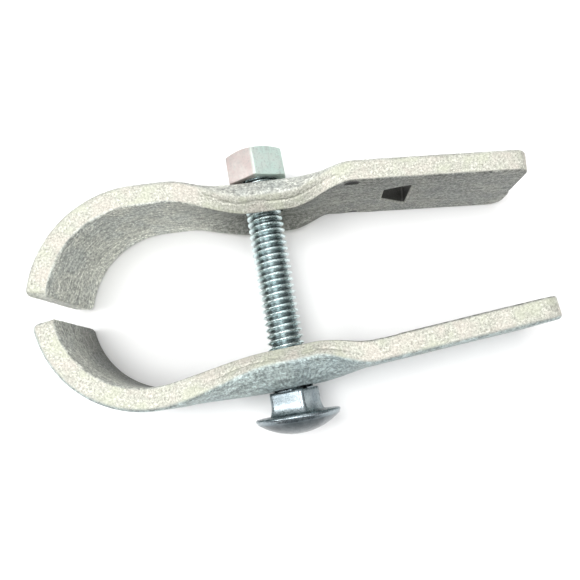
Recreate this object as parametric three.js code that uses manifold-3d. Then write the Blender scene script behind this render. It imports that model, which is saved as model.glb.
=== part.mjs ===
// Two-half pipe clamp with flat tails, held by one square-neck carriage bolt and one plain hex nut.
// Millimetres. +X points from the jaw to the tails, +Y runs along the bolt from its head to its nut,
// +Z is the strap width, which is also the axis of the pipe in the jaw. The lowest edges lie at Z = 0.
import * as THREE from 'three';
import { mergeVertices } from 'three/addons/utils/BufferGeometryUtils.js';
import Module from 'manifold-3d';

const wasm = await Module();
wasm.setup();

const DEG = Math.PI / 180;

// Strap stock
const STRAP_WIDTH = 23.6;
const STRAP_THICK = 4.76;        // 3/16 in
const EDGE_CHAMFER = 0.65;       // the rounded sheared edges, as a small bevel
const TAIL_CORNER_R = 2.8;
const JAW_CORNER_R = 1.5;

// Strap shape, the same for both halves
const JAW_RADIUS = 19.05;        // for a 1-1/2 in (38.1 mm) tube
const JAW_CENTRE_X = -24.95;
const TAIL_START_X = 13.25;
const FLANGE_ANGLE = 46 * DEG;   // how far the long edges turn in at the bolt
const FLANGE_FLAT = 2.8;         // half-width of the crest that stays flat
const FLANGE_ARC = 6.0;          // arc length over which the edge turns
const FLANGE_RIGHT = [5.85, 17.85]; // where along X the turn dies out, towards the tail
const WAIST_DRAW = 0.35;         // the half-turned edges are drawn in by this much
const WAIST_HOLE = 8.7;          // square
const SLOT_X = [27.05, 32.75];   // four-sided slot through the tail
const SLOT_Z = [[-2.2, 4.2], [-6.4, 6.6]]; // its two sides at each end

// How each half came out of the press. left: where along X its turned-in edges grow, from the jaw.
// skew: how much further towards the bolt the jaw lies at its low edge than at its high edge.
const NUT_SHAPE = {
  jawDrop: 2.4, crestDip: 0.2, tip: 177 * DEG, tail: 56.35, left: [-19.85, -2.45], skew: 1.2,
};
const HEAD_SHAPE = {
  jawDrop: 1.1, crestDip: -1.1, tip: 178.5 * DEG, tail: 55.55, left: [-25.65, -3.65], skew: 0,
};
const SKEW_ENDS = [-24, -10];    // where along X the skew dies out

// How each half sits on the bolt: the height of its tail face at the bolt, and its lean
const NUT_HALF = { ...NUT_SHAPE, y: 47.4, lean: -6.9 * DEG };
const HEAD_HALF = { ...HEAD_SHAPE, y: 11.2, lean: -3.8 * DEG };

// 5/16-18 carriage bolt, 2-1/4 in long
const THREAD_OD = 7.85;
const THREAD_ROOT = 6.4;
const PITCH = 25.4 / 18;
const HEAD_DIA = 18.2;
const HEAD_RIM = 0.9;
const HEAD_HIGH = 4.2;
const HEAD_SEAT_Y = 0.46;
const NECK_SIDE = 8.15;
const NECK_TOP_Y = 5.2;
const NECK_TURN = -27 * DEG;
const BOLT_TIP_Y = 57.8;
const THREAD_START_Y = 8.4;

// 5/16 in hex nut
const NUT_FLATS = 12.5;
const NUT_HIGH = 6.75;
const NUT_BORE = 8.5;
const NUT_SEAT_Y = 52.0;
const NUT_TURN = -1 * DEG;

const smooth = (a, b, x) => {
  const t = Math.min(1, Math.max(0, (x - a) / (b - a)));
  return t * t * (3 - 2 * t);
};

const toManifold = (geometry) => {
  const g = geometry.clone();
  g.deleteAttribute('normal');
  g.deleteAttribute('uv');
  const m = mergeVertices(g, 1e-5);
  const corners = [];
  for (let i = 0; i < m.index.count; i += 3) {
    const [a, b, c] = [m.index.getX(i), m.index.getX(i + 1), m.index.getX(i + 2)];
    if (a !== b && b !== c && c !== a) {
      corners.push(a, b, c);
    }
  }
  return new wasm.Manifold(new wasm.Mesh({
    numProp: 3,
    vertProperties: new Float32Array(m.attributes.position.array),
    triVerts: new Uint32Array(corners),
  }));
};

const toGeometry = (manifold) => {
  const mesh = manifold.getMesh();
  const g = new THREE.BufferGeometry();
  g.setAttribute('position', new THREE.BufferAttribute(mesh.vertProperties, 3));
  g.setIndex(new THREE.BufferAttribute(mesh.triVerts, 1));
  const flat = g.toNonIndexed();
  flat.computeVertexNormals();
  return flat;
};

// The strap's middle line, from jaw tip to tail end: an arc, a straight to the tail, the straight tail.
function middleLine(half) {
  const r = JAW_RADIUS + STRAP_THICK / 2;
  const cx = JAW_CENTRE_X;
  const cy = -half.jawDrop - JAW_RADIUS;
  const dx = TAIL_START_X - cx;
  const dy = STRAP_THICK / 2 - cy;
  const slope = Math.atan2(dy, dx) - Math.asin(r / Math.hypot(dx, dy));
  const arcEnd = Math.PI / 2 + slope;
  const arcLength = r * (half.tip - arcEnd);
  const leave = [cx + r * Math.cos(arcEnd), cy + r * Math.sin(arcEnd)];
  const bridge = Math.hypot(TAIL_START_X - leave[0], STRAP_THICK / 2 - leave[1]);
  const total = arcLength + bridge + half.tail - TAIL_START_X;
  const at = (s) => {
    if (s <= arcLength) {
      const a = half.tip - s / r;
      return { x: cx + r * Math.cos(a), y: cy + r * Math.sin(a), lean: a - Math.PI / 2 };
    }
    const past = s - arcLength - bridge;
    const bend = slope * (1 - smooth(-3, 3, past));
    if (past <= 0) {
      const t = (s - arcLength) / bridge;
      const x = leave[0] + t * (TAIL_START_X - leave[0]);
      return { x, y: leave[1] + t * (STRAP_THICK / 2 - leave[1]), lean: bend };
    }
    return { x: TAIL_START_X + past, y: STRAP_THICK / 2, lean: bend };
  };
  return { arcLength, bridge, total, at };
}

// Where the strap is cut across: close together at rounded corners, in the arc and along the waist.
function stations(line) {
  const cuts = [];
  const corner = (r, from, sign) => {
    for (let i = 0; i <= 4; i += 1) {
      cuts.push(from + sign * r * (1 - Math.cos((i * Math.PI) / 8)));
    }
  };
  corner(JAW_CORNER_R, 0, 1);
  const run = (a, b, n) => {
    for (let i = 1; i <= n; i += 1) {
      cuts.push(a + ((b - a) * i) / n);
    }
  };
  run(JAW_CORNER_R, line.arcLength, 18);
  run(line.arcLength, line.arcLength + line.bridge + 7, 20);
  run(line.arcLength + line.bridge + 7, line.total - TAIL_CORNER_R - 0.2, 3);
  corner(TAIL_CORNER_R, line.total, -1);
  return cuts.sort((a, b) => a - b);
}

// Half-width of the strap at a station, less where a corner is rounded off.
function halfWidth(line, s) {
  const inset = (r, d) => (d >= r ? 0 : r - Math.sqrt(Math.max(0, r * r - (r - d) * (r - d))));
  const cut = inset(JAW_CORNER_R, s) + inset(TAIL_CORNER_R, line.total - s);
  return STRAP_WIDTH / 2 - cut;
}

// Cross-section: a point w from the middle and n off the middle surface, with the edge turned in.
function section(w, n, turn) {
  const side = Math.sign(w);
  const run = Math.abs(w);
  const tight = turn > 1e-6;
  const along = Math.min(Math.max(run - FLANGE_FLAT, 0), FLANGE_ARC);
  const rest = Math.max(run - FLANGE_FLAT - FLANGE_ARC, 0);
  const angle = (turn * along) / FLANGE_ARC;
  const radius = tight ? FLANGE_ARC / turn : 0;
  const across = tight ? radius * Math.sin(angle) : along;
  const drop = tight ? radius * (1 - Math.cos(angle)) : 0;
  const z = Math.min(run, FLANGE_FLAT) + across + rest * Math.cos(angle) + n * Math.sin(angle);
  return { z: side * z, rise: n * Math.cos(angle) - drop - rest * Math.sin(angle) };
}

function bentStrap(half) {
  const line = middleLine(half);
  const cuts = stations(line);
  const across = [-1, -0.94, -0.76, -0.6, -0.45, -0.24, 0, 0.24, 0.45, 0.6, 0.76, 0.94, 1];
  const nl = cuts.length - 1;
  const nw = across.length - 1;
  const g = new THREE.BoxGeometry(1, 1, 1, nl, 1, nw);
  const p = g.attributes.position;
  for (let i = 0; i < p.count; i += 1) {
    const column = Math.round((p.getX(i) + 0.5) * nl);
    const row = Math.round((p.getZ(i) + 0.5) * nw);
    const outer = Math.sign(p.getY(i));
    const s = cuts[column];
    const rim = column === 0 || column === nl || row === 0 || row === nw;
    const n = outer * (STRAP_THICK / 2 - (rim ? EDGE_CHAMFER : 0));
    const m = line.at(s);
    const waist = smooth(...half.left, m.x) * (1 - smooth(...FLANGE_RIGHT, m.x));
    const turn = FLANGE_ANGLE * waist;
    const dip = half.crestDip * waist;
    const draw = WAIST_DRAW * Math.sin((Math.PI * turn) / FLANGE_ANGLE);
    const c = section(across[row] * (halfWidth(line, s) - draw), n, turn);
    const low = 0.5 - across[row] / 2;
    const skew = half.skew * low * (1 - smooth(...SKEW_ENDS, m.x));
    const x = m.x - c.rise * Math.sin(m.lean) + skew;
    const y = m.y + c.rise * Math.cos(m.lean) - dip;
    p.setXYZ(i, x, y, c.z);
  }
  return g;
}

// The slot cutter: a box whose end towards the tail is the wider one.
function slotCutter() {
  const length = SLOT_X[1] - SLOT_X[0];
  const g = new THREE.BoxGeometry(length, 4 * STRAP_THICK, 2);
  const p = g.attributes.position;
  for (let i = 0; i < p.count; i += 1) {
    const sides = SLOT_Z[p.getX(i) < 0 ? 0 : 1];
    p.setZ(i, sides[p.getZ(i) < 0 ? 0 : 1]);
  }
  g.translate((SLOT_X[0] + SLOT_X[1]) / 2, STRAP_THICK / 2, 0);
  return g;
}

// One half in its own frame: X along the tail, Y outward, the inner tail face at Y = 0.
// Its hole runs along the bolt.
function strapHalf(half) {
  const hole = new THREE.BoxGeometry(WAIST_HOLE, 8 * STRAP_THICK, WAIST_HOLE);
  hole.rotateZ(-half.lean);
  return toManifold(bentStrap(half)).subtract(toManifold(hole)).subtract(toManifold(slotCutter()));
}

function boltHead() {
  const r = HEAD_DIA / 2;
  const low = HEAD_SEAT_Y - HEAD_HIGH;
  const profile = [new THREE.Vector2(0, low)];
  const dome = HEAD_HIGH - HEAD_RIM;
  const ball = (r * r + dome * dome) / (2 * dome);
  const reach = Math.asin(r / ball);
  for (let i = 1; i <= 10; i += 1) {
    const a = (reach * i) / 10;
    profile.push(new THREE.Vector2(ball * Math.sin(a), low + ball * (1 - Math.cos(a))));
  }
  profile.push(new THREE.Vector2(r, HEAD_SEAT_Y - 0.45));
  profile.push(new THREE.Vector2(r - 0.5, HEAD_SEAT_Y));
  profile.push(new THREE.Vector2(0, HEAD_SEAT_Y));
  return new THREE.LatheGeometry(profile, 48);
}

// The square neck widens a little where it meets the head.
function boltNeck() {
  const high = NECK_TOP_Y - HEAD_SEAT_Y + 0.5;
  const g = new THREE.BoxGeometry(NECK_SIDE, high, NECK_SIDE, 1, 8, 1);
  const p = g.attributes.position;
  for (let i = 0; i < p.count; i += 1) {
    const up = p.getY(i) + high / 2;
    const flare = 1 + 0.16 * Math.pow(1 - Math.min(1, up / 3.2), 2);
    p.setXYZ(i, p.getX(i) * flare, HEAD_SEAT_Y - 0.5 + up, p.getZ(i) * flare);
  }
  g.rotateY(NECK_TURN);
  return g;
}

// The threaded shank: a turned blank whose rings are drawn out into one right-hand helix.
// Three rings make one pitch: the root and the two edges of the crest.
function boltShank() {
  const low = NECK_TOP_Y - 0.5;
  const root = THREAD_ROOT / 2;
  const depth = (THREAD_OD - THREAD_ROOT) / 2;
  const sides = 18;
  const turns = Math.ceil((BOLT_TIP_Y - THREAD_START_Y) / PITCH) + 1;
  const rings = 3 * turns;
  const blank = [new THREE.Vector2(0, low), new THREE.Vector2(root + depth * 0.6, low)];
  for (let j = 0; j <= rings; j += 1) {
    blank.push(new THREE.Vector2(root, j));
  }
  blank.push(new THREE.Vector2(root - 0.5, BOLT_TIP_Y), new THREE.Vector2(0, BOLT_TIP_Y));
  const g = new THREE.LatheGeometry(blank, sides);
  const p = g.attributes.position;
  const end = BOLT_TIP_Y - 0.5;
  const offset = [0, 0.42, 0.58];
  for (let i = 0; i <= sides; i += 1) {
    const a = (2 * Math.PI * (i % sides)) / sides;
    for (let j = 0; j <= rings; j += 1) {
      const rise = Math.floor(j / 3) - 1 + offset[j % 3] + i / sides;
      const y = Math.min(end, Math.max(THREAD_START_Y, THREAD_START_Y + rise * PITCH));
      const fade = Math.min(1, (y - THREAD_START_Y) / (0.6 * PITCH), (end - y) / (0.7 * PITCH));
      const r = root + (j % 3 === 0 ? 0 : depth * fade);
      p.setXYZ(i * blank.length + 2 + j, r * Math.sin(a), y, r * Math.cos(a));
    }
  }
  return g;
}

function carriageBolt() {
  const solid = toManifold(boltHead())
    .add(toManifold(boltNeck()))
    .add(toManifold(boltShank()));
  return toGeometry(solid);
}

function hexNut() {
  const hex = new THREE.CylinderGeometry(NUT_FLATS / Math.sqrt(3), NUT_FLATS / Math.sqrt(3), NUT_HIGH, 6);
  const corner = NUT_FLATS / Math.sqrt(3) - NUT_FLATS / 2;
  const turned = [
    new THREE.Vector2(0, -NUT_HIGH / 2),
    new THREE.Vector2(NUT_FLATS / 2 - 0.2, -NUT_HIGH / 2),
    new THREE.Vector2(NUT_FLATS / 2 + corner + 0.2, -NUT_HIGH / 2 + (corner + 0.4) * 0.577),
    new THREE.Vector2(NUT_FLATS / 2 + corner + 0.2, NUT_HIGH / 2 - (corner + 0.4) * 0.577),
    new THREE.Vector2(NUT_FLATS / 2 - 0.2, NUT_HIGH / 2),
    new THREE.Vector2(0, NUT_HIGH / 2),
  ];
  const bore = [
    new THREE.Vector2(0, -NUT_HIGH),
    new THREE.Vector2(NUT_BORE / 2 + 0.4 + NUT_HIGH / 2, -NUT_HIGH),
    new THREE.Vector2(NUT_BORE / 2, -NUT_HIGH / 2 + 0.4),
    new THREE.Vector2(NUT_BORE / 2, NUT_HIGH / 2 - 0.4),
    new THREE.Vector2(NUT_BORE / 2 + 0.4 + NUT_HIGH / 2, NUT_HIGH),
    new THREE.Vector2(0, NUT_HIGH),
  ];
  const solid = toManifold(hex)
    .intersect(toManifold(new THREE.LatheGeometry(turned, 48)))
    .subtract(toManifold(new THREE.LatheGeometry(bore, 40)));
  return toGeometry(solid);
}

const zinc = (color, roughness) => new THREE.MeshStandardMaterial({ color, roughness, metalness: 0.85 });

// The clamp stands on its strap edges, with its bolt along Y.
const clamp = new THREE.Group();

const place = (name, geometry, material) => {
  const mesh = new THREE.Mesh(geometry, material);
  mesh.name = name;
  clamp.add(mesh);
  return mesh;
};

const headSide = place('head_side_strap', toGeometry(strapHalf(HEAD_HALF)), zinc(0x9ea3a0, 0.55));
headSide.rotation.set(Math.PI, 0, HEAD_HALF.lean);
headSide.position.y = HEAD_HALF.y;

const nutSide = place('nut_side_strap', toGeometry(strapHalf(NUT_HALF)), zinc(0xa2a6a2, 0.55));
nutSide.rotation.z = NUT_HALF.lean;
nutSide.position.y = NUT_HALF.y;

place('carriage_bolt', carriageBolt(), zinc(0xb4bfc2, 0.35));

const nut = place('hex_nut', hexNut(), zinc(0xbcc2c0, 0.4));
nut.rotation.y = NUT_TURN;
nut.position.y = NUT_SEAT_Y + NUT_HIGH / 2;

// The origin is the middle of the clamp's footprint, at its foot.
const box = new THREE.Box3().setFromObject(clamp, true);
const middle = box.getCenter(new THREE.Vector3());
clamp.position.set(-middle.x, -middle.y, -box.min.z);

export default clamp;
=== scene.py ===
"""Looks for the two-half pipe clamp: finer meshes, zinc materials, floor, light and camera.

Shapes are worked out in millimetres and stored in metres. The bolt lies along +Y of the row frame, with
its head at low Y and its nut at high Y. Heights on the bolt are counted from a level just inside its head,
HEAD_SEAT under the flat seat.
"""
import math

import bmesh
import bpy
import numpy as np
from mathutils import Matrix, Vector, noise
from mathutils.geometry import delaunay_2d_cdt


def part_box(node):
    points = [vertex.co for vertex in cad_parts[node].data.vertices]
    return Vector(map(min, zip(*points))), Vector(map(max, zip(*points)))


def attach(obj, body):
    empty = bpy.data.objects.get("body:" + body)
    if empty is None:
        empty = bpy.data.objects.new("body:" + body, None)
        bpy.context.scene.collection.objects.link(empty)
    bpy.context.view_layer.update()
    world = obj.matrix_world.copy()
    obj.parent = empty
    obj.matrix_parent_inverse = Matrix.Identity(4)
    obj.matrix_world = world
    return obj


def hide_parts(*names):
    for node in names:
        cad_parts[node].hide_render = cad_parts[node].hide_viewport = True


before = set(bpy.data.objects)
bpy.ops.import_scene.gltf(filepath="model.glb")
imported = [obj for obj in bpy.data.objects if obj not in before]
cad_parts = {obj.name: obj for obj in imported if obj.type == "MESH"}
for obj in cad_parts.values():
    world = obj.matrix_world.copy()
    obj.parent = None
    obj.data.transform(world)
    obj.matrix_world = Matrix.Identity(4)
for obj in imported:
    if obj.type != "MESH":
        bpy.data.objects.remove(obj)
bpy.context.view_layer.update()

MM = 0.001
DEG = math.pi / 180

# ---- where the bolt stands in the row frame, in mm
HEAD_LOW = -3.74              # lowest point of the dome
bolt_low, bolt_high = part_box("carriage_bolt")
AXIS_X = (bolt_low.x + bolt_high.x) / 2 / MM
AXIS_Z = (bolt_low.z + bolt_high.z) / 2 / MM
BASE_Y = bolt_low.y / MM - HEAD_LOW

# ---- strap sizes, mm, as in the CAD
WIDTH = 23.6
THICK = 4.76
JAW_RADIUS = 19.05
JAW_CENTRE_X = -24.95
TAIL_START_X = 13.25
HOLE_HALF = 4.35
SLOT_CORNERS = [(27.05, -2.2), (32.75, -6.4), (32.75, 6.6), (27.05, 4.2)]
FLANGE_ANGLE = 46 * DEG       # how far the long edges are turned in at the waist
WAIST_DRAW = 0.35             # how far the edges are drawn in where they are half turned
SKEW_ENDS = (-24.0, -10.0)    # the skew of the jaw dies out between these places

# Each half: y and lean of its middle on the bolt; how far jaw and waist were pressed off the tail's line;
# angle of the jaw tip; end of the tail; which edge is the high one; where the edges start and end to be
# turned in, on the jaw's side (left) and on the tail's side (right); skew of the jaw. The spread of the
# right end between the two edges and the seed of the unevenness are for the looks only.
NUT_HALF = dict(y=47.4, lean=-6.9 * DEG, jaw_drop=2.4, dip=0.2, tip=177 * DEG, tail=56.35, side=1,
                left=(-19.85, -2.45), right=(5.85, 17.85), right_spread=2.4, skew=1.2, seed=3.0)
HEAD_HALF = dict(y=11.2, lean=-3.8 * DEG, jaw_drop=1.1, dip=-1.1, tip=178.5 * DEG, tail=55.55, side=-1,
                 left=(-25.65, -3.65), right=(5.85, 17.85), right_spread=0.0, skew=0.0, seed=11.0)

# ---- strap details that differ from the CAD, or that only the looks have, mm
BEND_EASE = 1.2               # how far a bend of the middle line is spread
FLANGE_BEND = (1.8, 9.8)      # distances from the middle between which the long edges bend
PLAN_RADII = [1.7, 3.6, 2.8, 1.5]   # corners: jaw end, tail end, tail end, jaw end
HOLE_CORNER = 0.5
SLOT_CORNER = 0.45
PLAN_ROUND = (0.95, 0.55)     # rounding of a sheared rim: outer side, inner side
HOLE_ROUND = (0.2, 0.3)
SLOT_ROUND = (0.7, 0.5)
ROUND_STEPS = 5
WALL_STEPS = 16
FACE_SPACING = 0.85           # between mesh points, inside the faces and along the rims
RIM_SPACING = 0.7
TAIL_STEP = 0.35              # the tail's end is stepped by this much, with a nick at the step
TAIL_NICK = 0.3
JAW_ROUGH = 0.12
SEAM_HEIGHT = 0.3             # the seam of the press runs this far outwards of the middle of the edge
SEAM_HALF = 0.24
SEAM_DEEP = 0.26
HOLE_REACH = (6.5, 9.0)       # straightening the hole moves the metal round it, less and less up to here
# pinched places of the inner face: along the strap as in SLOT_CORNERS, across it, and their half sizes. They
# are dented, and painted near black as painted shadow
DENTS = [(19.55, 10.0, 2.0, 1.2), (13.4, 10.3, 2.3, 1.3), (20.9, -10.9, 1.4, 0.7)]
DENT_DEEP = 0.3

# ---- bolt sizes, mm
THREAD_R = 7.94 / 2
ROOT_R = 6.3 / 2
PITCH = 25.4 / 18
HEAD_R = 18.2 / 2
HEAD_SEAT = 0.46
HEAD_RIM = 0.9                # height of the rim above the dome
RIM_ROUND = 0.42
RIM_FROM = -67.5 * DEG        # the rim is rounded between these angles
RIM_TO = 90 * DEG
RIM_BACK = 1.4                # the flat seat starts this far in from the rim
NECK_HALF = 8.25 / 2
NECK_ROUND = 0.85
NECK_FLARE = 0.6              # the neck widens by this much where it meets the head
FLARE_HIGH = 2.6
NECK_ROWS = (3.6, 4.2, 4.7)   # heights of the points on the straight part of the neck
NECK_TOP = 5.42
NECK_TURN = -27 * DEG
COLLAR_R = 4.2                # the part of the neck that stands in the hole
COLLAR_TOP = 7.4
SHANK_R = THREAD_R - 0.3      # between the collar and the thread
THREAD_START = 8.4
TIP = 57.8
THREAD_END = TIP - 0.35
BOLT_SIDES = 96
# one thread from root to root: (share of the pitch, share of the depth)
THREAD_SHAPE = [(0.0, 0.0), (0.16, 0.0), (0.30, 0.36), (0.44, 0.80), (0.52, 1.0), (0.64, 1.0), (0.72, 0.80),
                (0.86, 0.36)]
FADE_IN = 0.8                 # pitches over which the thread grows at its start
FADE_OUT = 0.9                # and dies out at its end

# ---- nut sizes, mm
NUT_FLATS = 12.5
NUT_HIGH = 6.75
NUT_SEAT = 52.0
NUT_TURN = -1 * DEG
NUT_BORE_R = 8.5 / 2
NUT_CORNER_R = 0.5
TOP_CHAMFER = math.tan(25 * DEG)
FOOT_CHAMFER = math.tan(5 * DEG)
NUT_SIDES = 180
# the pink side of the nut is also painted darker than the green side, as painted shade
NUT_TINT_X = -0.35            # the two tints of the nut meet this far from the bolt's axis


def smooth(a, b, x):
    t = np.clip((x - a) / (b - a), 0, 1)
    return t * t * (3 - 2 * t)


def bump(x, centre, width):
    return np.exp(-((x - centre) / width) ** 2)


# ---------------------------------------------------------------- straps

def middle_line(half, step=0.1):
    """Sampled middle line from jaw tip to tail end: arc, straight bridge, straight tail, bends eased."""
    r = JAW_RADIUS + THICK / 2
    cx, cy = JAW_CENTRE_X, -half["jaw_drop"] - JAW_RADIUS
    dx, dy = TAIL_START_X - cx, THICK / 2 - cy
    slope = math.atan2(dy, dx) - math.asin(r / math.hypot(dx, dy))
    arc_end = math.pi / 2 + slope
    arc = r * (half["tip"] - arc_end)
    leave = np.array([cx + r * math.cos(arc_end), cy + r * math.sin(arc_end)])
    corner = np.array([TAIL_START_X, THICK / 2])
    bridge = np.linalg.norm(corner - leave)
    total = arc + bridge + half["tail"] - TAIL_START_X

    # the line is drawn longer at both ends, so that the easing doesn't pull the ends in
    pad, kept_pad = 6.0, 2.0
    s = np.arange(-pad, total + pad, step)
    angle = half["tip"] - np.clip(s, 0, arc) / r
    over = np.minimum(s, 0)
    x = cx + r * np.cos(angle) + over * np.sin(angle)
    y = cy + r * np.sin(angle) - over * np.cos(angle)
    along = np.clip((s - arc) / bridge, 0, 1)
    on_bridge = s > arc
    x = np.where(on_bridge, leave[0] + along * (corner[0] - leave[0]), x)
    y = np.where(on_bridge, leave[1] + along * (corner[1] - leave[1]), y)
    x = x + np.maximum(s - arc - bridge, 0)
    kernel = np.exp(-(np.arange(-30, 31) * step / BEND_EASE) ** 2)
    kernel /= kernel.sum()
    xs = np.convolve(x, kernel, mode="same")
    ys = np.convolve(y, kernel, mode="same")
    keep = (s >= -kept_pad) & (s <= total + kept_pad)
    s, xs, ys = s[keep], xs[keep], ys[keep]
    lean = np.unwrap(np.arctan2(np.gradient(ys), np.gradient(xs)))
    return dict(s=s, x=xs, y=ys, lean=lean, total=total)


def waist_amount(half, mx, w):
    """How far the edges are turned in: 0 on jaw and tail, 1 at the bolt. It ends later on the high edge."""
    start, end = half["right"]
    end = end + half["right_spread"] * np.clip(w * half["side"] / (WIDTH / 2), -1, 1)
    return smooth(*half["left"], mx) * (1 - smooth(start, end, mx))


def place_points(half, line, p):
    """Points (s along, w across, n off the middle surface), mm, to the row frame, mm."""
    s, w, n = p[:, 0], p[:, 1], p[:, 2]
    mx = np.interp(s, line["s"], line["x"])
    my = np.interp(s, line["s"], line["y"])
    lean = np.interp(s, line["s"], line["lean"])
    waist = waist_amount(half, mx, w)
    turn = FLANGE_ANGLE * waist
    skew = half["skew"] * (0.5 - w / WIDTH) * (1 - smooth(*SKEW_ENDS, mx))
    w = w * (1 - WAIST_DRAW * np.sin(np.pi * waist) / (WIDTH / 2))

    # walk from the middle out to the point, bending as it goes
    run, side = np.abs(w), np.sign(w)
    across = np.zeros_like(run)
    drop = np.zeros_like(run)
    steps = 24
    for k in range(steps):
        at = (k + 0.5) / steps * run
        a = turn * smooth(*FLANGE_BEND, at)
        across += np.cos(a) * run / steps
        drop += np.sin(a) * run / steps
    edge = turn * smooth(*FLANGE_BEND, run)
    z = side * (across + n * np.sin(edge))
    rise = n * np.cos(edge) - drop
    x = mx - rise * np.sin(lean) + skew
    y = my + rise * np.cos(lean) - half["dip"] * waist

    cos_lean, sin_lean = math.cos(half["lean"]), math.sin(half["lean"])
    px, py = x * cos_lean - y * sin_lean, x * sin_lean + y * cos_lean
    if half is HEAD_HALF:
        py, z = -py, -z
    return np.column_stack([px + AXIS_X, py + half["y"] + BASE_Y, z + AXIS_Z])


def rounded_loop(corners, radii, grow, arc_steps=7):
    """A convex outline, anticlockwise, with rounded corners, moved outward by grow."""
    pts = [np.array(c, float) for c in corners]
    count = len(pts)
    arcs = []
    for i in range(count):
        before, here, after = pts[i - 1], pts[i], pts[(i + 1) % count]
        d0 = (here - before) / np.linalg.norm(here - before)
        d1 = (after - here) / np.linalg.norm(after - here)
        n0, n1 = np.array([d0[1], -d0[0]]), np.array([d1[1], -d1[0]])
        r = radii[i]
        half_turn = math.acos(np.clip(np.dot(n0, n1), -1, 1)) / 2
        centre = here - (n0 + n1) / np.linalg.norm(n0 + n1) * r / math.cos(half_turn)
        a0 = math.atan2(n0[1], n0[0])
        ring = [centre + (r + grow) * np.array([math.cos(a0 + 2 * half_turn * k / arc_steps),
                                                math.sin(a0 + 2 * half_turn * k / arc_steps)])
                for k in range(arc_steps + 1)]
        arcs.append((ring, centre + r * n0, centre + r * n1))
    out = []
    for i in range(count):
        ring, _, leaves = arcs[i]
        next_ring, arrives, _ = arcs[(i + 1) % count]
        out.extend(ring)
        # the same number of points at every grow, so that loops can be stitched
        k = max(1, int(round(np.linalg.norm(arrives - leaves) / RIM_SPACING)))
        out.extend(ring[-1] + (next_ring[0] - ring[-1]) * j / k for j in range(1, k))
    return np.array(out)


def inside(loop, p):
    """Which points lie inside a polygon."""
    hit = np.zeros(len(p), bool)
    x0, y0 = loop[-1]
    for x1, y1 in loop:
        cross = (y0 > p[:, 1]) != (y1 > p[:, 1])
        with np.errstate(divide="ignore", invalid="ignore"):
            at = x0 + (p[:, 1] - y0) * (x1 - x0) / (y1 - y0)
        hit ^= cross & (p[:, 0] < at)
        x0, y0 = x1, y1
    return hit


def within(outer, holes, p):
    keep = inside(outer, p)
    for hole in holes:
        keep &= ~inside(hole, p)
    return keep


def fbm(points, scale, octaves, offset=0.0):
    """Fractal noise at points, for small unevenness in the metal."""
    return np.array([noise.fractal(Vector((float(x) * scale + offset, float(y) * scale, float(z) * scale)),
                                   1.0, 2.0, octaves) for x, y, z in points])


def fill_face(outer, holes):
    """Triangles over the outline less its holes. Boundary points come first, in loop order."""
    step = FACE_SPACING
    low, high = outer.min(0), outer.max(0)
    rows = []
    y, odd = low[1] + step / 2, 0
    while y < high[1]:
        x = np.arange(low[0] + step * (0.5 + 0.5 * odd), high[0], step)
        rows.append(np.column_stack([x, np.full_like(x, y)]))
        y += step * 0.866
        odd = 1 - odd
    grid = np.vstack(rows)
    grid = grid[within(outer, holes, grid)]

    # no grid point too close to the rims, looked at in batches to save memory
    loops = [outer] + holes
    rim_points = np.vstack(loops)
    clear = np.ones(len(grid), bool)
    for k in range(0, len(rim_points), 64):
        away = np.linalg.norm(grid[:, None, :] - rim_points[None, k:k + 64, :], axis=2).min(1)
        clear &= away > 0.55 * step
    points = np.vstack([rim_points, grid[clear]])

    edges, start = [], 0
    for loop in loops:
        n = len(loop)
        edges += [(start + i, start + (i + 1) % n) for i in range(n)]
        start += n
    verts, _, faces, source, _, _ = delaunay_2d_cdt([Vector(p) for p in points], edges, [], 0, 1e-7)
    order = [src[0] for src in source]
    index = np.array([f for f in faces])
    middle = np.array([[v.x, v.y] for v in verts])[index].mean(1)
    tris = [tuple(order[i] for i in f) for f in index[within(outer, holes, middle)]]
    return points, tris


def edge_profile(round_out, round_in):
    """Rows down a sheared edge: (how far in from the wall, height n, how much of it is sheared face)."""
    rows = []
    for k in range(ROUND_STEPS + 1):
        a = k / ROUND_STEPS * math.pi / 2
        in_from, down = round_out * (1 - math.sin(a)), round_out * (1 - math.cos(a))
        rows.append((in_from, THICK / 2 - down, float(smooth(0.35, 1.0, k / ROUND_STEPS))))
    top, bottom = THICK / 2 - round_out, -THICK / 2 + round_in
    for k in range(1, WALL_STEPS):
        rows.append((0.0, top + (bottom - top) * k / WALL_STEPS, 1.0))
    for k in range(ROUND_STEPS, -1, -1):
        a = k / ROUND_STEPS * math.pi / 2
        in_from, up = round_in * (1 - math.sin(a)), round_in * (1 - math.cos(a))
        rows.append((in_from, -THICK / 2 + up, float(smooth(0.5, 1.0, k / ROUND_STEPS))))
    return rows


def stitch(faces, upper, lower, count, outward):
    """A band of quads between two rings of points."""
    for i in range(count):
        j = (i + 1) % count
        quad = (upper + i, lower + i, lower + j, upper + j)
        faces.append(quad if outward else quad[::-1])


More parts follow.
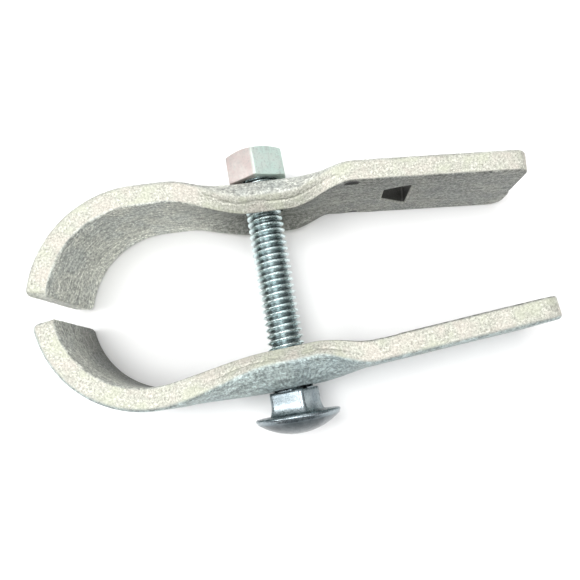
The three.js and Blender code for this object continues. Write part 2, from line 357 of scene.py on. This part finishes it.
def strap_skin(total, tail_zero, hole_s):
    """The flat strap as (s, w, n) points and faces, with how pale each point is and how much painted shade
    each takes on the hole and slot walls.
    """
    plan = [(0, -WIDTH / 2), (total, -WIDTH / 2), (total, WIDTH / 2), (0, WIDTH / 2)]
    hole = [(hole_s - HOLE_HALF, -HOLE_HALF), (hole_s + HOLE_HALF, -HOLE_HALF),
            (hole_s + HOLE_HALF, HOLE_HALF), (hole_s - HOLE_HALF, HOLE_HALF)]
    slot = [(tail_zero + x, z) for x, z in SLOT_CORNERS]
    # corners, their radii, which way the rim is rounded back, and its two roundings
    rims = [(plan, PLAN_RADII, -1, PLAN_ROUND), (hole, [HOLE_CORNER] * 4, 1, HOLE_ROUND),
            (slot, [SLOT_CORNER] * 4, 1, SLOT_ROUND)]
    verts, faces, sheared, wall_shade = [], [], [], []

    def loop(rim, reach):
        corners, radii, way, _ = rim
        return rounded_loop(corners, radii, way * reach)

    def add(points, n, pale, wall_shade_amount):
        start = sum(len(v) for v in verts)
        verts.append(np.column_stack([points, np.full(len(points), n)]))
        sheared.append(np.full(len(points), pale))
        wall_shade.append(np.full(len(points), wall_shade_amount))
        return start

    rim_starts = []
    for outer_side in (True, False):
        loops = [loop(rim, rim[3][0 if outer_side else 1]) for rim in rims]
        points, tris = fill_face(loops[0], loops[1:])
        start = add(points, THICK / 2 if outer_side else -THICK / 2, 0.0, 0.0)
        for a, b, c in tris:
            (ax, ay), (bx, by), (cx, cy) = points[a], points[b], points[c]
            turns_left = (bx - ax) * (cy - ay) - (by - ay) * (cx - ax) > 0
            if turns_left == outer_side:
                faces.append((start + a, start + b, start + c))
            else:
                faces.append((start + a, start + c, start + b))
        starts, at = [], start
        for item in loops:
            starts.append(at)
            at += len(item)
        rim_starts.append(starts)

    for which, rim in enumerate(rims):
        outline = which == 0
        count = len(loop(rim, 0.0))
        ring = rim_starts[0][which]
        for reach, n, wall in edge_profile(*rim[3])[1:-1]:
            # the walls of the hole and the slot are painted towards near black: painted shade in these
            # recesses
            pale, wall_shade_amount = (wall, 0.0) if outline else (0.3, wall ** 4)
            lower = add(loop(rim, reach), n, pale, wall_shade_amount)
            stitch(faces, ring, lower, count, outline)
            ring = lower
        stitch(faces, ring, rim_starts[1][which], count, outline)
    return np.vstack(verts), faces, np.concatenate(sheared), np.concatenate(wall_shade)


def build_strap(name, half):
    line = middle_line(half)
    total = line["total"]
    tail_zero = total - half["tail"]
    mid_y = float(np.interp(0.0, line["x"], line["y"]))
    hole_s = float(np.interp(math.sin(half["lean"]) * mid_y, line["x"], line["s"]))
    p, faces, pale, wall_shade = strap_skin(total, tail_zero, hole_s)
    s, w, n = p[:, 0].copy(), p[:, 1].copy(), p[:, 2].copy()

    # the tail's end is sheared unevenly, and the jaw's end is a little rough
    tail_wobble = -TAIL_STEP * smooth(-4.5, -0.5, w) - TAIL_NICK * bump(w, -2.4, 1.0)
    p[:, 0] += smooth(total - 5, total, s) * tail_wobble
    waist = waist_amount(half, np.interp(s, line["s"], line["x"]), w)
    rough = fbm(np.column_stack([s * 0.35, w, n]), 0.45, 3, half["seed"])
    fine = fbm(np.column_stack([s, w, n]), 1.6, 2, half["seed"] + 40)
    p[:, 0] += (1 - smooth(0, 4, s)) * JAW_ROUGH * (1 + fine)

    # the seam of the press along the turned edges, then small dips in faces and edges
    seam = bump(n, SEAM_HEIGHT + 0.5 * rough, SEAM_HALF) * (0.2 + 0.8 * waist) * SEAM_DEEP * pale
    p[:, 1] -= np.sign(w) * seam
    on_wall = pale > 0.5
    long_edge = on_wall & (np.abs(w) > 11)
    p[:, 2] -= np.sign(n) * np.where(on_wall, 0, 0.05 * np.abs(rough) + 0.02 * np.abs(fine))
    p[:, 1] -= np.sign(w) * np.where(long_edge, 0.05 * np.abs(fine) + 0.03 * np.abs(rough), 0)

    # the hole runs along the bolt, not square to the strap, and its sides stay parallel
    hole_lean = float(np.interp(hole_s, line["s"], line["lean"])) + half["lean"]
    side_lean = FLANGE_ANGLE * float(smooth(*FLANGE_BEND, HOLE_HALF))
    near_hole = 1 - smooth(*HOLE_REACH, np.hypot(s - hole_s, w))
    p[:, 0] += n * math.tan(hole_lean) * near_hole
    p[:, 1] -= n * math.sin(side_lean) * near_hole * np.clip(w / HOLE_HALF, -1, 1)

    # dents in the inner face where the turned edges die out
    along_tail = s - tail_zero
    inner = n < -THICK / 2 + 0.6
    for dent_s, dent_w, half_s, half_w in DENTS:
        p[:, 2] += DENT_DEEP * bump(along_tail, dent_s, half_s) * bump(w, dent_w, half_w) * inner

    # (s, w, n) has the other handedness than (x, y, z), so the faces are turned over to point outwards
    faces = [face[::-1] for face in faces]
    obj = mesh_object(name, place_points(half, line, p) * MM, faces)
    jaw_end_wall = (pale > 0.3) & (s < 0.6)
    cool = 1.0 if half is HEAD_HALF else 0.0
    store(obj, "pale", np.where(jaw_end_wall, 0.3 * pale, pale))
    # how much painted shade each point of the hole and slot walls takes
    store(obj, "wall_shade", wall_shade)
    store(obj, "waist", waist)
    store(obj, "face_light_and_shade", painted_face_light(half, s / total, w, n, waist))
    store(obj, "cool", np.full(len(s), cool) * smooth(-1.5, 1.5, n))
    vector = obj.data.attributes.new("strap", "FLOAT_VECTOR", "POINT")
    vector.data.foreach_set("vector", np.column_stack([along_tail, w, n]).astype(np.float32).ravel())
    return obj


def painted_face_light(half, along, w, n, waist):
    """How light the flat faces are painted, as painted light and shade.

    The inner face is painted dull, as painted shade, but for the jaw, which differs from half to half and
    from edge to edge. The outer face is painted lighter, as painted light, most at the waist.
    """
    high = w * half["side"] / (WIDTH / 2)
    jaw = 1 - smooth(0.30, 0.46, along)
    tail = smooth(0.5, 0.62, along)
    if half is NUT_HALF:
        in_jaw = 1.75 + 0.35 * smooth(0.55, 0.95, -high) + 0.2 * smooth(0.6, 0.95, high)
    else:
        in_jaw = 0.5 + 1.0 * smooth(-0.7, 0.9, high)
    inner = 0.72 + (in_jaw - 0.72) * jaw + 0.12 * tail
    outer = (1.3 if half is NUT_HALF else 1.22) + 0.15 * waist
    return np.where(n > 0, outer, inner)


def store(obj, name, values):
    attribute = obj.data.attributes.new(name, "FLOAT", "POINT")
    attribute.data.foreach_set("value", np.asarray(values, np.float32))


def mesh_object(name, points, faces):
    data = bpy.data.meshes.new(name)
    data.from_pydata([tuple(map(float, p)) for p in points], [], [tuple(int(i) for i in f) for f in faces])
    data.validate()
    data.update()
    data.shade_smooth()
    obj = bpy.data.objects.new(name, data)
    bpy.context.scene.collection.objects.link(obj)
    return obj


# ---------------------------------------------------------------- bolt and nut

def lathe(rows, sides):
    """A turned skin: rows of (radius, height), each a number or a function of the angle."""
    verts, faces = [], []
    a = np.arange(sides) * 2 * math.pi / sides
    for r, y in rows:
        rr = r(a) if callable(r) else np.full(sides, float(r))
        yy = y(a) if callable(y) else np.full(sides, float(y))
        verts += list(np.column_stack([rr * np.sin(a), yy, rr * np.cos(a)]))
    for k in range(len(rows) - 1):
        for i in range(sides):
            j = (i + 1) % sides
            faces.append((k * sides + i, k * sides + j, (k + 1) * sides + j, (k + 1) * sides + i))
    return verts, faces


def to_row(points):
    return (np.array(points, float) + np.array([AXIS_X, BASE_Y, AXIS_Z])) * MM


def square_radius(a):
    """Radius of the rounded square neck at an angle."""
    b = np.abs((a - NECK_TURN + math.pi / 4) % (math.pi / 2) - math.pi / 4)
    core = NECK_HALF - NECK_ROUND
    flat = NECK_HALF / np.cos(b)
    # reach and offset of the corner circle, centred at (core, core)
    reach = core * np.cos(b) + core * np.sin(b)
    offset = core * np.sin(b) - core * np.cos(b)
    arc = reach + np.sqrt(np.maximum(NECK_ROUND ** 2 - offset ** 2, 0))
    return np.where(b < math.atan2(core, NECK_HALF), flat, arc)


def bolt_rows():
    """The bolt's outline from the bottom of the dome up to the root of the thread."""
    rows = []
    dome_high = HEAD_SEAT - HEAD_LOW - HEAD_RIM
    ball = (HEAD_R ** 2 + dome_high ** 2) / (2 * dome_high)
    reach = math.asin(HEAD_R / ball)
    dome_steps = 23
    for k in range(1, dome_steps):
        t = reach * k / dome_steps
        rows.append((ball * math.sin(t), HEAD_LOW + ball * (1 - math.cos(t))))
    rim_steps = 6
    for k in range(rim_steps + 1):
        t = RIM_FROM + k / rim_steps * (RIM_TO - RIM_FROM)
        rows.append((HEAD_R - RIM_ROUND + RIM_ROUND * math.cos(t),
                     HEAD_SEAT - RIM_ROUND - 0.05 + RIM_ROUND * math.sin(t)))
    rows.append((HEAD_R - RIM_BACK, HEAD_SEAT))

    flare_steps = 8
    for k in range(flare_steps + 1):
        t = k / flare_steps
        flare = NECK_FLARE * (1 - t) ** 2.4
        lift = 0.02 if k == 0 else 0
        rows.append((lambda a, flare=flare: square_radius(a) + flare, HEAD_SEAT + FLARE_HIGH * t + lift))
    for y in NECK_ROWS:
        rows.append((square_radius, y))
    rows.append((lambda a: square_radius(a) - 0.03, NECK_TOP - 0.12))
    rows.append((lambda a: square_radius(a) - 0.15, NECK_TOP))

    rows.append((COLLAR_R + 0.15, NECK_TOP + 0.02))
    rows.append((COLLAR_R, NECK_TOP + 0.15))
    rows.append((COLLAR_R, COLLAR_TOP))
    rows.append((SHANK_R, COLLAR_TOP + 0.3))
    rows.append((SHANK_R, THREAD_START - 0.5))
    rows.append((ROOT_R, THREAD_START))
    return rows


def bolt_skin():
    """Head, neck and shank turned in one piece, and the thread as rings drawn out into one helix."""
    sides = BOLT_SIDES
    verts, faces = lathe(bolt_rows(), sides)
    verts.append(np.array((0, HEAD_LOW, 0), float))
    faces += [(len(verts) - 1, (i + 1) % sides, i) for i in range(sides)]

    per_turn = len(THREAD_SHAPE)
    turns = int(math.ceil((TIP - THREAD_START) / PITCH)) + 1
    rings = per_turn * turns
    start = len(verts)
    for j in range(rings):
        share, lift = THREAD_SHAPE[j % per_turn]
        for i in range(sides):
            a = 2 * math.pi * i / sides
            y = THREAD_START + (j // per_turn - 1 + share + i / sides) * PITCH
            y = min(THREAD_END, max(THREAD_START, y))
            fade = min(1.0, (y - THREAD_START) / (FADE_IN * PITCH), (THREAD_END - y) / (FADE_OUT * PITCH))
            r = ROOT_R + (THREAD_R - ROOT_R) * lift * max(0.0, fade)
            verts.append(np.array([r * math.sin(a), y, r * math.cos(a)]))
    for j in range(rings - 1):
        here, above = start + j * sides, start + (j + 1) * sides
        for i in range(sides - 1):
            faces.append((here + i, here + i + 1, above + i + 1, above + i))
        # the last side of a ring joins the first side of the same ring one turn on
        if j + 1 + per_turn < rings:
            faces.append((here + sides - 1, here + per_turn * sides,
                          above + per_turn * sides, above + sides - 1))
    return verts, faces


def build_bolt(name):
    verts, faces = bolt_skin()
    obj = mesh_object(name, to_row(verts), faces)

    # the rings squeezed together at the ends of the thread are merged, which also joins the thread to the
    # shank, and the open tip is closed
    bm = bmesh.new()
    bm.from_mesh(obj.data)
    bmesh.ops.remove_doubles(bm, verts=bm.verts, dist=2e-6)
    bmesh.ops.dissolve_degenerate(bm, dist=1e-6, edges=bm.edges)
    bmesh.ops.holes_fill(bm, edges=[e for e in bm.edges if e.is_boundary], sides=0)
    bmesh.ops.recalc_face_normals(bm, faces=bm.faces)
    bm.to_mesh(obj.data)
    bm.free()
    obj.data.shade_smooth()

    own = np.array([v.co for v in obj.data.vertices]) / MM - np.array([AXIS_X, BASE_Y, AXIS_Z])
    height = own[:, 1]
    r = np.hypot(own[:, 0], own[:, 2])
    root = 1 - np.clip((r - ROOT_R) / (THREAD_R - ROOT_R), 0, 1)
    store(obj, "root", np.where(height > THREAD_START, root, 0))
    store(obj, "threaded", smooth(NECK_TOP, THREAD_START, height))
    # marks the dome, which is painted near black as a painted reflection
    store(obj, "dome", np.where(height < HEAD_SEAT - 0.95, 1.0, 0.0) * (1 - smooth(-1.1, -0.5, height)))
    return obj


def hexagon_radius(a):
    """Radius of the nut at an angle, with rounded corners."""
    from_corner = np.abs((a - NUT_TURN + math.pi / 6) % (math.pi / 3) - math.pi / 6)
    from_flat = math.pi / 6 - from_corner
    flat_r = NUT_FLATS / 2
    core = flat_r - NUT_CORNER_R
    corner = core / math.cos(math.pi / 6)
    flat = flat_r / np.cos(from_flat)
    round_from = math.atan2(core * math.tan(math.pi / 6), flat_r)
    offset = corner * np.sin(from_corner)
    arc = corner * np.cos(from_corner) + np.sqrt(np.maximum(NUT_CORNER_R ** 2 - offset ** 2, 0))
    return np.where(from_flat < round_from, flat, arc)


def nut_end(chamfer, sign):
    """Rows from the bore, over an end face, to just past its rim. Sign is 1 for the top, -1 for the foot."""
    crown = NUT_FLATS / 2 - 0.1
    half_high = NUT_HIGH / 2

    def face_radius(a):
        return np.minimum(hexagon_radius(a), crown)

    def rim_height(a):
        return half_high - np.maximum(hexagon_radius(a) - crown, 0) * chamfer

    rows = [(NUT_BORE_R, sign * (half_high - 0.9)),
            (NUT_BORE_R + 0.1, sign * (half_high - 0.5)),
            (NUT_BORE_R + 0.55, sign * (half_high - 0.02)),
            (NUT_BORE_R + 0.7, sign * half_high),
            (lambda a: face_radius(a) - 0.35, sign * half_high)]
    for t in (0.0, 0.33, 0.66, 1.0):
        rows.append((lambda a, t=t: (face_radius(a) - 0.12) * (1 - t) + (hexagon_radius(a) - 0.14) * t,
                     lambda a, t=t: sign * (half_high * (1 - t) + rim_height(a) * t - 0.01)))
    rows.append((lambda a: hexagon_radius(a) - 0.03, lambda a: sign * (rim_height(a) - 0.12)))
    rows.append((hexagon_radius, lambda a: sign * (rim_height(a) - 0.32)))
    return rows


def build_nut(name):
    foot = nut_end(FOOT_CHAMFER, -1)
    top = nut_end(TOP_CHAMFER, 1)
    low, high = foot[-1][1], top[-1][1]
    walls = [(hexagon_radius, lambda a, t=t: low(a) * (1 - t) + high(a) * t) for t in (0.25, 0.5, 0.75)]
    rows = foot + walls + top[::-1]
    verts, faces = lathe(rows, NUT_SIDES)
    last = (len(rows) - 1) * NUT_SIDES
    for i in range(NUT_SIDES):
        j = (i + 1) % NUT_SIDES
        faces.append((last + i, last + j, j, i))
    p = np.array(verts)
    p[:, 1] += NUT_SEAT + NUT_HIGH / 2
    return mesh_object(name, to_row(p), faces)


# ---------------------------------------------------------------- materials

class Nodes:
    """Short calls for the shader nodes used here. A value is a socket, a number or a colour."""

    def __init__(self, tree):
        self.tree = tree

    def new(self, kind):
        return self.tree.nodes.new(kind)

    def link(self, value, socket):
        if isinstance(value, bpy.types.NodeSocket):
            self.tree.links.new(value, socket)
        else:
            socket.default_value = value

    def attribute(self, name, output="Fac"):
        node = self.new("ShaderNodeAttribute")
        node.attribute_name = name
        return node.outputs[output]

    def object_coordinates(self):
        return self.new("ShaderNodeTexCoord").outputs["Object"]

    def mapped(self, vector, scale):
        node = self.new("ShaderNodeMapping")
        self.link(vector, node.inputs["Vector"])
        node.inputs["Scale"].default_value = scale
        return node.outputs[0]

    def split(self, vector):
        node = self.new("ShaderNodeSeparateXYZ")
        self.link(vector, node.inputs[0])
        return node.outputs

    def noise(self, vector, scale, detail=4.0, rough=0.5, distortion=0.0):
        node = self.new("ShaderNodeTexNoise")
        self.link(vector, node.inputs["Vector"])
        node.inputs["Scale"].default_value = scale
        node.inputs["Detail"].default_value = detail
        node.inputs["Roughness"].default_value = rough
        node.inputs["Distortion"].default_value = distortion
        return node.outputs[0]

    def ramp(self, fac, stops):
        node = self.new("ShaderNodeValToRGB")
        self.link(fac, node.inputs[0])
        ramp = node.color_ramp
        while len(ramp.elements) < len(stops):
            ramp.elements.new(0.5)
        for element, (at, color) in zip(ramp.elements, stops):
            element.position = at
            element.color = (*color, 1)
        return node.outputs[0]

    def math(self, op, a, b=0.0, clamp=False):
        node = self.new("ShaderNodeMath")
        node.operation = op
        node.use_clamp = clamp
        self.link(a, node.inputs[0])
        self.link(b, node.inputs[1])
        return node.outputs[0]

    def span(self, value, low, high, to_low=0.0, to_high=1.0):
        node = self.new("ShaderNodeMapRange")
        self.link(value, node.inputs["Value"])
        node.inputs["From Min"].default_value = low
        node.inputs["From Max"].default_value = high
        node.inputs["To Min"].default_value = to_low
        node.inputs["To Max"].default_value = to_high
        return node.outputs[0]

    def mix(self, fac, a, b, blend="MIX"):
        node = self.new("ShaderNodeMix")
        node.data_type = "RGBA"
        node.blend_type = blend
        self.link(fac, node.inputs[0])
        self.link(a if isinstance(a, bpy.types.NodeSocket) else (*a, 1), node.inputs[6])
        self.link(b if isinstance(b, bpy.types.NodeSocket) else (*b, 1), node.inputs[7])
        return node.outputs[2]

    def scaled(self, vector, by):
        node = self.new("ShaderNodeVectorMath")
        node.operation = "SCALE"
        self.link(vector, node.inputs[0])
        self.link(by, node.inputs["Scale"])
        return node.outputs[0]

    def painted_dent_shadows(self, strap, ragged):
        """1 inside the pinched spots on the inner face, with a ragged border; these spots take painted
        shadow.
        """
        along, across, depth = self.split(strap)
        border = self.math("MULTIPLY", self.math("SUBTRACT", ragged, 0.5), 2.4)
        total = None
        for dent_s, dent_w, half_s, half_w in DENTS:
            ds = self.math("DIVIDE", self.math("SUBTRACT", along, dent_s), half_s)
            dw = self.math("DIVIDE", self.math("SUBTRACT", across, dent_w), half_w)
            far = self.math("ADD", self.math("MULTIPLY", ds, ds), self.math("MULTIPLY", dw, dw))
            spot = self.span(self.math("ADD", far, border), 1.0, 0.6)
            total = spot if total is None else self.math("MAXIMUM", total, spot)
        return self.math("MULTIPLY", total, self.span(depth, -1.7, -2.0), clamp=True)

    def bump(self, height, strength, distance, normal=None):
        node = self.new("ShaderNodeBump")
        node.inputs["Strength"].default_value = strength
        node.inputs["Distance"].default_value = distance
        self.link(height, node.inputs["Height"])
        if normal is not None:
            self.link(normal, node.inputs["Normal"])
        return node.outputs[0]


def material(name):
    mat = bpy.data.materials.new(name)
    mat.use_nodes = True
    tree = mat.node_tree
    tree.nodes.clear()
    out = tree.nodes.new("ShaderNodeOutputMaterial")
    shader = tree.nodes.new("ShaderNodeBsdfPrincipled")
    tree.links.new(shader.outputs[0], out.inputs[0])
    return mat, Nodes(tree), shader


def strap_material():
    """Galvanised strap: scoured, streaked flat faces and a pale, gritty sheared edge, with painted light and
    shade over the faces and painted shade in the dents and on the hole and slot walls.
    """
    mat, n, shader = material("galvanised_strap")
    strap = n.attribute("strap", "Vector")
    mottle = n.noise(strap, 0.55, 6.0, 0.7, 0.5)

    # flat faces: streaks along the strap, mottling, bluish patches and fine grain
    streak = n.noise(n.mapped(strap, (0.22, 1.15, 0.6)), 1.0, 8.0, 0.72, 0.8)
    patches = n.noise(strap, 0.13, 3.0, 0.5)
    grain = n.noise(strap, 2.4, 4.0, 0.75)
    fleck = n.noise(strap, 1.25, 6.0, 0.8)
    face = n.ramp(streak, [(0.34, (0.085, 0.09, 0.085)), (0.45, (0.22, 0.232, 0.22)),
                           (0.54, (0.33, 0.345, 0.325)), (0.68, (0.58, 0.60, 0.57))])
    face = n.mix(n.span(mottle, 0.42, 0.66, 0.0, 0.7), face, (0.44, 0.455, 0.43))
    face = n.mix(n.span(mottle, 0.46, 0.34, 0.0, 0.6), face, (0.14, 0.148, 0.14))
    face = n.mix(n.span(patches, 0.46, 0.62, 0.0, 0.4), face, (0.22, 0.25, 0.262))
    face = n.mix(n.span(grain, 0.52, 0.66, 0.0, 0.55), face, (0.62, 0.64, 0.61))
    face = n.mix(n.span(grain, 0.48, 0.36, 0.0, 0.6), face, (0.10, 0.105, 0.10))
    face = n.mix(1.0, face, (1.02, 1.0, 0.95), "MULTIPLY")
    face = n.mix(n.attribute("cool"), face, n.mix(1.0, face, (0.85, 0.98, 1.06), "MULTIPLY"))
    face = n.scaled(face, n.span(fleck, 0.40, 0.60, 0.55, 1.45))
    # painted light and shade: the faces are scaled by how light they are painted
    face = n.scaled(face, n.attribute("face_light_and_shade"))

    # sheared edge: grit, scrapes, faint pink and green, and the dark seam at the waist
    grit = n.noise(strap, 2.3, 4.0, 0.85)
    tint = n.noise(strap, 0.16, 3.0, 0.55)
    scrape = n.noise(n.mapped(strap, (0.16, 1.2, 1.5)), 1.0, 4.0, 0.6)
    edge = n.ramp(grit, [(0.38, (0.26, 0.26, 0.215)), (0.46, (0.45, 0.45, 0.385)),
                         (0.54, (0.60, 0.60, 0.525)), (0.62, (0.78, 0.78, 0.71))])
    edge = n.mix(n.span(scrape, 0.5, 0.36, 0.0, 0.35), edge, (0.38, 0.39, 0.34))
    edge = n.mix(n.span(tint, 0.50, 0.62, 0.0, 0.3), edge, (0.66, 0.57, 0.52))
    edge = n.mix(n.span(tint, 0.48, 0.40, 0.0, 0.4), edge, (0.55, 0.58, 0.44))
    wander = n.math("MULTIPLY", n.math("SUBTRACT", mottle, 0.5), 2.2)
    seam = n.math("SUBTRACT", n.math("ADD", n.split(strap)[2], wander), SEAM_HEIGHT)
    seam = n.span(n.math("ABSOLUTE", seam), 0.16, 0.04)
    seam = n.math("MULTIPLY", n.math("MULTIPLY", seam, 0.6, clamp=True), n.attribute("waist"))
    edge = n.mix(seam, edge, (0.16, 0.165, 0.14))

    color = n.mix(n.attribute("pale"), face, edge)
    # painted shadow: the pinched spots on the inner face are painted near black
    color = n.mix(n.painted_dent_shadows(strap, mottle), color, (0.012, 0.012, 0.010))
    # painted shade: the walls of the hole and the slot are painted near black
    color = n.mix(n.math("MULTIPLY", n.attribute("wall_shade"), 0.93), color, (0.018, 0.018, 0.016))
    n.link(color, shader.inputs["Base Color"])
    shader.inputs["Metallic"].default_value = 0.25
    n.link(n.span(mottle, 0.3, 0.7, 0.46, 0.66), shader.inputs["Roughness"])
    rough = n.bump(streak, 0.4, 0.00035)
    rough = n.bump(mottle, 0.5, 0.0004, rough)
    n.link(n.bump(grain, 0.6, 0.00016, rough), shader.inputs["Normal"])
    return mat


def bolt_material():
    """Bright zinc: pale teal on the thread and steel blue on the neck, painted apart as painted reflection;
    very deep grey on the dome as painted reflection of dim surroundings; painted shade in the roots.
    """
    mat, n, shader = material("zinc_plated_bolt")
    place = n.object_coordinates()
    cloud = n.noise(place, 260.0, 4.0, 0.6)
    speck = n.noise(place, 1500.0, 4.0, 0.7)
    # painted reflection: one zinc, painted pale on the thread and deeper on the neck, standing in for what
    # each reflects
    neck = n.ramp(cloud, [(0.35, (0.20, 0.245, 0.27)), (0.65, (0.36, 0.41, 0.43))])
    thread = n.ramp(cloud, [(0.35, (0.72, 0.86, 0.87)), (0.65, (0.86, 0.97, 0.97))])
    dome = n.ramp(cloud, [(0.35, (0.045, 0.058, 0.064)), (0.65, (0.11, 0.13, 0.14))])
    color = n.mix(n.attribute("threaded"), neck, thread)
    # painted reflection: the dome is painted near black, standing in for the dim surroundings it would
    # reflect
    color = n.mix(n.attribute("dome"), color, dome)
    color = n.mix(n.span(speck, 0.47, 0.34, 0.0, 0.4), color, (0.05, 0.06, 0.065))
    # painted shade: the roots of the thread are painted towards near black
    root_shade = n.math("MULTIPLY", n.span(n.attribute("root"), 0.35, 0.95), 0.85)
    color = n.mix(root_shade, color, (0.03, 0.045, 0.05))
    n.link(color, shader.inputs["Base Color"])
    shader.inputs["Metallic"].default_value = 1.0
    n.link(n.span(speck, 0.35, 0.7, 0.2, 0.36), shader.inputs["Roughness"])
    n.link(n.bump(speck, 0.2, 0.0001), shader.inputs["Normal"])
    return mat


def nut_material():
    """Zinc plate with the faint pink and green of its passivation; the pink side is also painted darker, as
    painted shade.
    """
    mat, n, shader = material("zinc_plated_nut")
    place = n.object_coordinates()
    cloud = n.noise(place, 320.0, 5.0, 0.65)
    speck = n.noise(place, 2100.0, 4.0, 0.75)
    scuff = n.noise(n.mapped(place, (1.0, 0.25, 1.0)), 1100.0, 4.0, 0.65)
    meet = (AXIS_X + NUT_TINT_X) * MM
    half_blend = 0.0004
    green = n.span(n.split(place)[0], meet - half_blend, meet + half_blend)
    # passivation tints; the pink side is also painted darker, as painted shade
    color = n.mix(green, (0.52, 0.44, 0.42), (0.58, 0.72, 0.66))
    color = n.mix(n.span(cloud, 0.42, 0.62, 0.0, 0.45), color, (0.64, 0.65, 0.61))
    color = n.mix(n.span(scuff, 0.50, 0.35, 0.0, 0.35), color, (0.40, 0.42, 0.40))
    color = n.mix(n.span(speck, 0.48, 0.34, 0.0, 0.55), color, (0.34, 0.35, 0.34))
    n.link(color, shader.inputs["Base Color"])
    shader.inputs["Metallic"].default_value = 0.45
    n.link(n.span(scuff, 0.3, 0.7, 0.34, 0.52), shader.inputs["Roughness"])
    n.link(n.bump(speck, 0.35, 0.0001), shader.inputs["Normal"])
    return mat


# ---------------------------------------------------------------- the object

strap_look = strap_material()
for piece, half, body, node in (("nut_side_half", NUT_HALF, "nut_half", "nut_side_strap"),
                                ("head_side_half", HEAD_HALF, "head_half", "head_side_strap")):
    strap = build_strap(piece, half)
    strap.data.materials.append(strap_look)
    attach(strap, body)
    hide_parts(node)

bolt = build_bolt("square_neck_bolt")
bolt.data.materials.append(bolt_material())
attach(bolt, "bolt")
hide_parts("carriage_bolt")

nut = build_nut("hexagon_nut")
nut.data.materials.append(nut_material())
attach(nut, "nut")
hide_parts("hex_nut")

# ---------------------------------------------------------------- floor, light, camera, in metres

bpy.ops.mesh.primitive_plane_add(size=4, location=(0, 0, -0.0002))
floor = bpy.context.object
floor.name = "floor"
floor_look, _, floor_shader = material("pale_floor")
floor_shader.inputs["Base Color"].default_value = (0.92, 0.92, 0.92, 1)
floor_shader.inputs["Roughness"].default_value = 0.9
floor.data.materials.append(floor_look)

# a studio that is brighter overhead than at the horizon
studio = bpy.data.worlds.new("studio")
bpy.context.scene.world = studio
studio.use_nodes = True
studio.node_tree.nodes.clear()
sky_nodes = Nodes(studio.node_tree)
sky = sky_nodes.new("ShaderNodeBackground")
sky_nodes.link(sky.outputs[0], sky_nodes.new("ShaderNodeOutputWorld").inputs[0])
height = sky_nodes.split(sky_nodes.new("ShaderNodeTexCoord").outputs["Generated"])[2]
sky_nodes.link(sky_nodes.ramp(sky_nodes.span(height, 0.0, 1.0), [(0.0, (0.30, 0.30, 0.31)),
                                                                (0.45, (0.45, 0.45, 0.46)),
                                                                (0.8, (1.1, 1.1, 1.1))]),
               sky.inputs["Color"])
sky.inputs["Strength"].default_value = 0.8


def softbox(name, location, target, size, power):
    light = bpy.data.lights.new(name, "AREA")
    light.shape = "RECTANGLE"
    light.size, light.size_y = size
    light.energy = power
    obj = bpy.data.objects.new(name, light)
    obj.location = location
    obj.rotation_euler = (Vector(target) - Vector(location)).to_track_quat("-Z", "Y").to_euler()
    bpy.context.scene.collection.objects.link(obj)


softbox("top_softbox", (-0.15, 0.05, 0.85), (0, 0, 0), (0.45, 0.45), 5.0)
softbox("strip_light", (0.25, -0.35, 0.6), (0, 0, 0.01), (0.08, 0.5), 0.8)
softbox("left_softbox", (-0.49, 0.075, 0.355), (0, -0.02, 0.01), (0.22, 0.28), 0.95)
softbox("back_softbox", (0.0, 0.52, 0.24), (0, 0, 0.01), (0.5, 0.2), 0.7)

# the camera looks down at the middle of the clamp, turned so that the bolt leans to the left
CAMERA_TARGET = Vector((0.0, -0.0006, 0.0118))
CAMERA_DISTANCE = 0.1321
CAMERA_AZIMUTH = 5.57 * DEG
CAMERA_ELEVATION = 80.47 * DEG
CAMERA_ROLL = -15.56 * DEG
camera_data = bpy.data.cameras.new("camera")
camera_data.sensor_width = 36
camera_data.lens = 37.24
camera_data.clip_start = 0.001
camera = bpy.data.objects.new("camera", camera_data)
back = Vector((math.sin(CAMERA_AZIMUTH) * math.cos(CAMERA_ELEVATION),
               -math.cos(CAMERA_AZIMUTH) * math.cos(CAMERA_ELEVATION), math.sin(CAMERA_ELEVATION)))
level = Vector((math.cos(CAMERA_AZIMUTH), math.sin(CAMERA_AZIMUTH), 0))
right = level * math.cos(CAMERA_ROLL) + back.cross(level) * math.sin(CAMERA_ROLL)
up = back.cross(right)
eye = CAMERA_TARGET + back * CAMERA_DISTANCE
camera.matrix_world = Matrix(((right.x, up.x, back.x, eye.x), (right.y, up.y, back.y, eye.y),
                              (right.z, up.z, back.z, eye.z), (0, 0, 0, 1)))
bpy.context.scene.collection.objects.link(camera)
bpy.context.scene.camera = camera
bpy.context.scene.view_settings.view_transform = "Standard"
